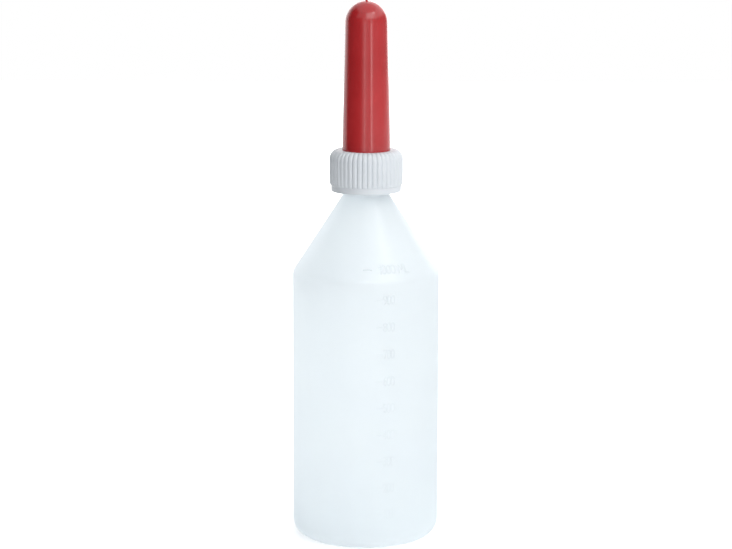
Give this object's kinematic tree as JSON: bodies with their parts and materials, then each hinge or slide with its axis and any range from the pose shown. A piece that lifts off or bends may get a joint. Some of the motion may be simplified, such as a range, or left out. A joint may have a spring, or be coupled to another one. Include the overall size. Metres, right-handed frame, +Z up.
{
  "type": "calf feeding bottle",
  "caption": "Graduated squeeze bottle with a conical shoulder, ribbed screw collar and long rubber teat with non-return and vent valves, for hand-feeding calves and lambs.",
  "frame": {"origin": "centre of the standing face, on the bottle's axis", "axes": "+Z up along the bottle's axis, -Y out of the side that carries the scale"},
  "size_m": [0.09, 0.09, 0.334],
  "materials": {
    "bottle_plastic": "satin",
    "collar_plastic": "satin",
    "teat_rubber": "satin",
    "seal_rubber": "matte",
    "valve_plastic": "satin",
    "ball_plastic": "gloss"
  },
  "bodies": {
    "bottle": {"bottle": "bottle_plastic"},
    "head": {"teat": "teat_rubber", "valve_body": "valve_plastic", "ball_cage": "valve_plastic", "vent_valve": "seal_rubber", "neck_gasket": "seal_rubber"},
    "collar": {"screw_collar": "collar_plastic"},
    "ball": {"valve_ball": "ball_plastic"}
  },
  "joints": [
    {"name": "head_lift", "type": "slide", "parent": "bottle", "child": "head", "axis": [0, 0, 1], "range_m": [0, 0.00763]},
    {"name": "collar_turn", "type": "hinge", "parent": "head", "child": "collar", "pos_m": [0, 0, 0.228], "axis": [0, 0, 1], "range_deg": [0, 648]},
    {"name": "ball_lift", "type": "slide", "parent": "head", "child": "ball", "axis": [0, 0, 1], "range_m": [0, 0.0024]}
  ],
  "couplings": [
    {"joint": "head_lift", "follows": "collar_turn", "m_per_rad": 0.0006737}
  ]
}
